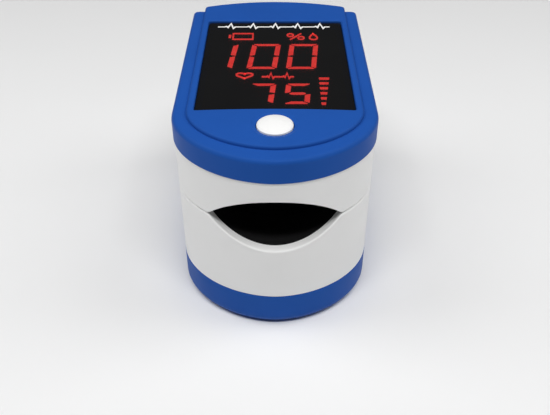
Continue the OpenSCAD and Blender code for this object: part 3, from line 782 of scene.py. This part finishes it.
def bottom_cover():
    cover = base_block("bottom_cover_casing", BASE_H)
    opening = DOOR_HALF + 0.1
    back = LENGTH + 5
    cut(cover, stack("hollow", plan, [(COVER_WALL, FLOOR_T), (COVER_WALL, BASE_H + 1)]))
    cut(cover, stack("doorway", rectangle((-opening, opening), (DOOR_FRONT, back), 0), [
        (-0.25, -1), (-0.25, 0.02), (0, 0.27), (0, BASE_H + 1)]))
    cut(cover, block((-opening - 0.9, opening + 0.9), (DOOR_FRONT - 1, back), (0.9, 1.5)))
    low, high = box_mm("case_screws")
    x, y = high.x - 1.5, (low.y + high.y) / 2
    bore = [(0, -1), (1.95, -1), (1.95, 0), (1.7, 0.22), (1.7, 1.4), (0.95, 1.4), (0.95, 4), (0, 4)]
    cut(cover, *both_sides(lambda s: lathe("bore", bore, upright(s * x, y), 48)))
    return smooth(tidy_mesh(cover))


def battery_door():
    door = base_block("battery_door_casing", BASE_H)
    low, high = box_mm("battery_door")
    combine(door, stack("limit", rectangle((-DOOR_HALF, DOOR_HALF), (DOOR_FRONT + 0.15, LENGTH + 5), 0), [
        (0.2, low.z), (0, low.z + 0.2), (0, high.z)]), "INTERSECT")
    inside = [(BASE_STEP + 1.6, 1.5), (BASE_STEP + 1.6, BASE_H + 1)]
    cut(door, stack("hollow", plan, inside))
    grip_count = 6
    pitch = 1.4
    for k in range(grip_count):
        y = 46.3 + k * pitch
        cut(door, stack("grip", rectangle((-6.4, 6.4), (y - 0.45, y + 0.45), 0.42), [
            (-0.15, low.z - 1), (-0.15, low.z), (0.05, low.z + 0.2), (0.2, low.z + 0.38)]))
    def arrow(i):
        return rounded([(-3 + 2 * i, 40 + i, 0.3), (3 - 2 * i, 40 + i, 0.3), (0, 43.6 - 1.3 * i, 0.3)])
    cut(door, stack("arrow", arrow, [(-0.1, low.z - 1), (-0.1, low.z), (0.1, low.z + 0.28)]))
    reach = DOOR_HALF + 0.8
    add(door, block((-reach, reach), (DOOR_FRONT + 0.5, SHOULDER_Y - 2), (1, 1.4)))
    return smooth(tidy_mesh(door))


# ---------- window, display and button ----------

def display_window():
    pane = stack("display_pane", lambda i: window_plan(i + 0.1), [(0, WINDOW_LOW.z), (0, WINDOW_HIGH.z - 0.1),
                                                                 (0.03, WINDOW_HIGH.z - 0.03),
                                                                 (0.1, WINDOW_HIGH.z)])
    return smooth(pane)


def stroke(bm, points, width, z, height, closed=False):
    """A flat bar of a width along a line of (x, y) points, mitred at its corners"""
    count = len(points)
    pts = [Vector(p) for p in points]
    rows = []
    for k, p in enumerate(pts):
        before = pts[k - 1] if closed or k > 0 else None
        after = pts[(k + 1) % count] if closed or k < count - 1 else None
        ways = [w.normalized() for w in ((p - before) if before else None, (after - p) if after else None) if w]
        normals = [Vector((-w.y, w.x)) for w in ways]
        side = sum(normals, Vector((0, 0))).normalized()
        reach = width / 2 / max(side.dot(normals[0]), 0.45)
        rows.append([bm.verts.new(at(*(p + s * side * reach), z + dz))
                     for s, dz in ((1, 0), (-1, 0), (-1, height), (1, height))])
    for first, second in zip(rows, rows[1:] + (rows[:1] if closed else [])):
        strip(bm, first, second)
    if not closed:
        bm.faces.new(rows[0])
        bm.faces.new(list(reversed(rows[-1])))


def pulse_line(x0, x1, y, height, beats):
    """Points of a trace with evenly spaced beats"""
    pitch = (x1 - x0) / beats
    shape = [(0, 0), (0.3, 0), (0.38, 0.18), (0.46, -0.16), (0.58, 1), (0.7, -0.45), (0.78, 0)]
    line = [(x0 + pitch * (k + s), y + h * height) for k in range(beats) for s, h in shape]
    return line + [(x1, y)]


def flat_bar(bm, outline, z, height):
    """A flat piece between z and z + height with an outline of (x, y) points"""
    low = [bm.verts.new(at(x, y, z)) for x, y in outline]
    high = [bm.verts.new(at(x, y, z + height)) for x, y in outline]
    strip(bm, low, high)
    bm.faces.new(list(reversed(low)))
    bm.faces.new(high)


def digit(bm, x, y, w, h, lit, z, height):
    """A number of slanting bars in a box of w by h centred on (x, y), with its lit bars by letter"""
    post, rail, gap = 0.92, 0.56, 0.33
    lean = math.tan(math.radians(5))
    inner_x, inner_y = w / 2 - post, h / 2 - rail
    top = [(gap - w / 2, h / 2), (w / 2 - gap, h / 2), (inner_x - gap, inner_y), (gap - inner_x, inner_y)]
    side = [(-w / 2, h / 2 - gap), (-w / 2, gap), (-inner_x, gap + rail / 2), (-inner_x, inner_y - gap)]
    reach = inner_x + post / 2
    middle = [(gap - reach, 0), (gap - inner_x, rail / 2), (inner_x - gap, rail / 2),
              (reach - gap, 0), (inner_x - gap, -rail / 2), (gap - inner_x, -rail / 2)]
    # A shape and the signs that turn it to the right or upside down
    bars = {"a": (top, 1, 1), "b": (side, -1, 1), "c": (side, -1, -1), "d": (top, 1, -1),
            "e": (side, 1, -1), "f": (side, 1, 1), "g": (middle, 1, 1)}
    for letter in lit:
        shape, across, over = bars[letter]
        flat_bar(bm, [(x + px * across + lean * py * over, y + py * over) for px, py in shape], z, height)


def display_segments():
    """Two numbers, pulse strength bars, a cell and a heart, all lit"""
    low, high = box_mm("display_segments")
    z, thick = low.z, high.z - low.z
    bm = bmesh.new()
    for x, lit in ((-10.25, "bc"), (-2.05, "abcdef"), (5.2, "abcdef")):
        digit(bm, x, TALL_ROW_Y, *TALL_DIGIT, lit, z, thick)
    for x, lit in ((-2.3, "abc"), (3.92, "acdfg")):
        digit(bm, x, SHORT_ROW_Y, *SHORT_DIGIT, lit, z, thick)
    for k in range(6):
        x, y, w = 7.92, 18.15 + 1.77 * k, 0.68 + 0.21 * k
        flat_bar(bm, [(x, y), (x + w, y), (x + w + 0.07, y + 0.6), (x - 0.07, y + 0.6)], z, thick)
    x, y = -6.35, 44.85
    stroke(bm, [(x - 1.95, y - 1.3), (x + 1.95, y - 1.3), (x + 1.95, y + 1.3), (x - 1.95, y + 1.3)],
           ICON_STROKE, z, thick, True)
    stroke(bm, [(x - 2.6, y - 0.6), (x - 2.6, y + 0.6)], 0.5, z, thick)
    scale_x, scale_y = 0.093, 0.073
    heart = [(-5.5 + scale_x * 16 * math.sin(a) ** 3,
              28.5 + scale_y * (13 * math.cos(a) - 5 * math.cos(2 * a) - 2 * math.cos(3 * a) - math.cos(4 * a)))
             for a in (math.tau * (k + 0.5) / 24 for k in range(24))]
    stroke(bm, heart, ICON_STROKE, z, thick, True)
    return mesh_object("lit_segments", bm)


def window_print():
    """White printed pulse trace across the top of the window"""
    bm = bmesh.new()
    low_y, high_y = 45.9, 48.3
    height = (high_y - low_y) / 1.45 * 0.95
    stroke(bm, pulse_line(-11.4, 10.9, low_y + 0.45 * height + 0.15, height, 5), 0.42, WINDOW_HIGH.z, 0.02)
    return mesh_object("window_print", bm)


def ring(x, y, rx, ry):
    """Points of an oval"""
    steps = 16
    return [(x + rx * math.cos(math.tau * k / steps), y + ry * math.sin(math.tau * k / steps))
            for k in range(steps)]


def display_icons():
    """Lit pictograms beside the numbers: a drop with a percent sign, and a short pulse trace"""
    bm = bmesh.new()
    low, high = box_mm("display_segments")
    z, thick = low.z, high.z - low.z
    width = 0.3
    stroke(bm, [(3, 43.4), (5.2, 46.2)], width, z, thick)
    stroke(bm, ring(3.05, 45.45, 0.6, 0.66), 0.28, z, thick, True)
    stroke(bm, ring(5.15, 44.15, 0.6, 0.66), 0.28, z, thick, True)
    drop = [(7.6 + 1.05 * math.sin(a) * math.sin(a / 2) ** 1.3, 44.75 + 1.35 * math.cos(a))
            for a in (math.tau * k / 24 for k in range(24))]
    stroke(bm, drop, width, z, thick, True)
    stroke(bm, pulse_line(-2.4, 3.4, 28, 1.5, 2), width, z, thick)
    return mesh_object("display_icons", bm)


def power_button():
    top = BUTTON_HIGH.z
    bottom = BUTTON_LOW.z
    flange = BUTTON_HIGH.x
    flange_top = TOP_UNDER - 0.1
    side_top = FACE_Z
    r = 0.14
    crown = [(BUTTON_R - r + r * math.cos(a), side_top - r + r * math.sin(a))
             for a in (math.radians(15 * k) for k in range(6))]
    dome = [(BUTTON_R * s, side_top + (top - side_top) * (1 - s * s) ** 0.8)
            for s in (0.94, 0.88, 0.8, 0.7, 0.55, 0.4, 0.2)]
    profile = [(0, bottom), (flange - 0.1, bottom), (flange, bottom + 0.1), (flange, flange_top - 0.1),
               (flange - 0.1, flange_top), (BUTTON_R, flange_top)] + crown + dome + [(0, top)]
    return smooth(lathe("button_cap", profile, upright(0, BUTTON_Y), 96))


# ---------- pads ----------

def finger_pad(name, side, rise):
    """Silicone trough of one jaw, with a flange, shallow grip ribs, a raised lens rim and a finger stop.
    side is -1 for the lower jaw and 1 for the upper."""
    r = (MOUTH_HALF ** 2 + rise ** 2) / (2 * rise)
    top = 0.2
    half = 12.9
    flange_t = 0.8
    def arc_depth(x, reach):
        """How far the arc of radius reach lies from the seam"""
        return rise - r + math.sqrt(max(reach * reach - x * x, 0))
    def inner(x, y):
        base = soft_max(top, arc_depth(x, r), 0.5)
        stop = min(max(y - (STOP_Y - 1), 0), 1)
        fill = 1 - math.sqrt(max(1 - stop * stop, 0))
        rib = 0
        if base > 0.8 and (9 < y < 16.5 or 28 < y < 34):
            rib = 0.14 * max(math.sin(math.tau * y / 1.5), 0) * min((base - 0.8) / 1.2, 1)
        away = math.hypot(x, y - SENSOR_Y)
        rim = 0.16 * math.exp(-((away - LENS_R - 0.75) / 0.35) ** 2)
        return base + (top - base) * fill - rib - rim
    def outer(x):
        return max(top + flange_t, arc_depth(x, r + PAD_T))
    bm = bmesh.new()
    columns = [-half + 2 * half * k / 60 for k in range(61)]
    fronts = [nose_y(x, INNER_STEP, INNER_STEP) for x in columns]
    last_rows = [STOP_Y - 1 + 0.97 * math.sin(math.radians(90 * k / 10)) for k in range(11)] + [STOP_Y, PAD_END]
    def column_ys(front):
        straight = STOP_Y - 1.05
        return [front + (straight - front) * k / 88 for k in range(89)] + last_rows
    inside = [[bm.verts.new(at(x, y, SEAM_Z + side * inner(x, y))) for y in column_ys(f)]
              for x, f in zip(columns, fronts)]
    outside = [[bm.verts.new(at(x, y, SEAM_Z + side * outer(x))) for y in column_ys(f)]
               for x, f in zip(columns, fronts)]
    for rows in (inside, outside):
        for first, second in zip(rows, rows[1:]):
            strip(bm, first, second, False)
    strip(bm, inside[0], outside[0], False)
    strip(bm, inside[-1], outside[-1], False)
    strip(bm, [c[0] for c in inside], [c[0] for c in outside], False)
    strip(bm, [c[-1] for c in inside], [c[-1] for c in outside], False)
    pad = mesh_object(name, bm)
    hole = LENS_R + 0.1
    ends = sorted(SEAM_Z + side * depth for depth in (0.5, 9))
    cut(pad, stack("hole", circle(0, SENSOR_Y, hole), [(0, z) for z in ends]))
    return smooth(tidy_mesh(pad), 40)


# ---------- springs, ribbon and cells ----------

SPRING_R = 1.5
SPRING_WIRE = 0.3
SPRING_X = (4.2, 9)
SPRING_TURNS = 5.5
LEG_END = HINGE_Y + 8
LEG_TILT = math.radians(1.9)


def torsion_spring(name, side):
    """Coil round the pin whose legs run along the two jaws' slopes; side is 1 on the right"""
    steps = int(32 * SPRING_TURNS)
    def leg(x, up):
        tip = [LEG_END - 0.25 * k for k in range(3)]
        return [at(side * x, y, SEAM_Z + up * (SPRING_R + (y - HINGE_Y) * math.tan(LEG_TILT))) for y in tip]
    coil = []
    for k in range(steps + 1):
        a = math.pi / 2 + math.tau * k / 32
        x = SPRING_X[0] + (SPRING_X[1] - SPRING_X[0]) * k / steps
        coil.append(at(side * x, HINGE_Y + SPRING_R * math.cos(a), SEAM_Z + SPRING_R * math.sin(a)))
    spring = tube(name, leg(SPRING_X[0], 1) + coil + leg(SPRING_X[1], -1)[::-1], SPRING_WIRE)
    return smooth(spring, 40, False)


def ribbon_cable():
    """Flat cable that bends upwards behind the lower board and rises past the pin to its connector"""
    low, high = box_mm("ribbon_cable")
    thick = 0.22
    half = high.x
    front, back = low.y, high.y - 0.15
    z0, z1 = low.z + 0.15, high.z
    bend = 1.6
    line = [(front + (back - bend - front) * k / 6, z0) for k in range(7)]
    line += [(back - bend + bend * math.sin(a), z0 + bend - bend * math.cos(a))
             for a in (math.radians(9 * k) for k in range(1, 11))]
    rise = z1 - z0 - bend
    line += [(back + 0.08 * math.sin(math.pi * k / 24) ** 2, z0 + bend + rise * k / 24) for k in range(1, 25)]
    bm = bmesh.new()
    rows = []
    for k, (y, z) in enumerate(line):
        y0, z_before = line[max(k - 1, 0)]
        y1, z_after = line[min(k + 1, len(line) - 1)]
        ahead = Vector((y1 - y0, z_after - z_before)).normalized()
        off = Vector((-ahead.y, ahead.x)) * thick / 2
        rows.append([bm.verts.new(at(x, y + s * off.x, z + s * off.y))
                     for x, s in [(-half, 1), (half, 1), (half, -1), (-half, -1)]])
    for first, second in zip(rows, rows[1:]):
        strip(bm, first, second)
    bm.faces.new(rows[0])
    bm.faces.new(list(reversed(rows[-1])))
    return smooth(mesh_object("ribbon_flex", bm), 40, False)


def cell(node, name):
    """A cell with its crimped shoulder, its nub and its printed sleeve"""
    low, high = box_mm(node)
    length = high.y - low.y
    r = (high.x - low.x) / 2
    nub = 1.9
    body = length - 0.8
    profile = [(0, 0.12), (3.4, 0.12), (3.6, 0), (r - 0.5, 0), (r - 0.12, 0.15), (r, 0.5), (r, body - 1.3),
               (r - 0.06, body - 1.1), (r - 0.35, body - 1), (r - 0.3, body - 0.7), (r - 0.12, body - 0.45),
               (r - 0.4, body - 0.1), (r - 0.7, body), (nub + 0.5, body), (nub + 0.1, body + 0.1),
               (nub, body + 0.3), (nub, length - 0.2), (nub - 0.2, length), (0, length)]
    x = (low.x + high.x) / 2
    z = (low.z + high.z) / 2
    turn = 1 if node == "battery_left" else -1
    y = low.y if turn > 0 else high.y
    return smooth(lathe(name, profile, along_y(x, y, z, turn), 64))


# ---------- the object ----------

show(lower_shell(), "lower_jaw", "shell_white", "lower_shell")
show(bottom_cover(), "lower_jaw", "cover_blue", "bottom_cover")
show(battery_door(), "battery_door", "cover_blue", "battery_door")
show(upper_shell(), "upper_jaw", "shell_white", "upper_shell")
show(top_cover(), "upper_jaw", "cover_blue", "top_cover")
show(display_window(), "upper_jaw", "window_smoke", "display_window")
show(window_print(), "upper_jaw", "button_white")
show(display_segments(), "upper_jaw", "segment_red", "display_segments")
show(display_icons(), "upper_jaw", "segment_red")
show(power_button(), "button", "button_white", "power_button")
show(finger_pad("lower_finger_pad", -1, MOUTH_DOWN), "lower_jaw", "silicone_black", "lower_pad")
show(finger_pad("upper_finger_pad", 1, MOUTH_UP), "upper_jaw", "silicone_black", "upper_pad")
show(cell("battery_left", "cell_left"), "lower_jaw", "cell_sleeve", "battery_left")
show(cell("battery_right", "cell_right"), "lower_jaw", "cell_sleeve", "battery_right")

for side, word in ((1, "right"), (-1, "left")):
    spring = torsion_spring("torsion_spring_" + word, side)
    dress(spring, "steel")
    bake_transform(spring)
    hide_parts("spring_" + word)

ribbon = ribbon_cable()
dress(ribbon, "ribbon_amber")
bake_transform(ribbon)
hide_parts("ribbon_cable")

# The other CAD nodes keep their shape, with softened edges and their own finish
KEPT = {
    "plastic_black": ["battery_tray", "lower_cradle", "upper_cradle", "display_module", "tact_switch"],
    "foam_black": ["display_gasket"],
    "steel": ["hinge_pin", "case_screws", "cover_screws", "battery_springs"],
    "nickel_plate": ["battery_plates"],
    "lead_red": ["battery_leads"],
    "board_green": ["sensor_board", "main_board", "emitter_board"],
    "chip_black": ["board_chips", "photodiode"],
    "lens_red": ["sensor_lens", "emitter_lens"],
    "led_cream": ["emitter_led", "switch_plunger"],
    "connector_cream": ["ribbon_connector"],
}
UNROUNDED = {"battery_springs", "display_gasket"}
for slot, names in KEPT.items():
    for name in names:
        dress(NODES[name], slot)
        if name not in UNROUNDED:
            bevel(NODES[name], 0.08)

# ---------- stage ----------

def soft_floor():
    """Plain pale floor just under the base"""
    bm = bmesh.new()
    reach = 1.5
    corners = [bm.verts.new((x * reach, y * reach, -0.00002)) for x, y in ((-1, -1), (1, -1), (1, 1), (-1, 1))]
    bm.faces.new(corners)
    floor = mesh_object("floor", bm)
    shader = Shader("floor_paper", 0.9, Specular_IOR_Level=0.1)
    shader.colour((0.88, 0.88, 0.88), 0.004, 40)
    floor.data.materials.append(shader.material)


def softbox(name, place, target, size, power):
    """A rectangular light in metres and watts, turned to its target"""
    data = bpy.data.lights.new(name, "AREA")
    data.shape = "RECTANGLE"
    data.size, data.size_y = size
    data.energy = power
    light = bpy.data.objects.new(name, data)
    bpy.context.scene.collection.objects.link(light)
    light.location = place
    light.rotation_euler = (Vector(target) - Vector(place)).to_track_quat("-Z", "Y").to_euler()


def studio():
    world = bpy.data.worlds.new("studio")
    bpy.context.scene.world = world
    world.use_nodes = True
    background = world.node_tree.nodes["Background"]
    background.inputs["Color"].default_value = (1, 1, 1, 1)
    background.inputs["Strength"].default_value = 0.07
    middle = (0, 0, 0.015)
    for side in (-1, 1):
        softbox("side_box", (side * 0.28, 0.02, 0.34), middle, (0.2, 0.34), 0.64)
    softbox("front_box", (0, -0.19, 0.45), middle, (0.4, 0.06), 1.3)


def camera():
    """The photograph's view: from the front, looking down at the display"""
    data = bpy.data.cameras.new("camera")
    data.lens = 45.73
    data.sensor_width = 36
    data.clip_start = 0.005
    view = bpy.data.objects.new("camera", data)
    bpy.context.scene.collection.objects.link(view)
    view.location = (0, -0.11445, 0.0945)
    view.rotation_euler = (math.radians(51.53), 0, 0)
    bpy.context.scene.camera = view


soft_floor()
studio()
camera()
bpy.context.scene.view_settings.view_transform = "Standard"
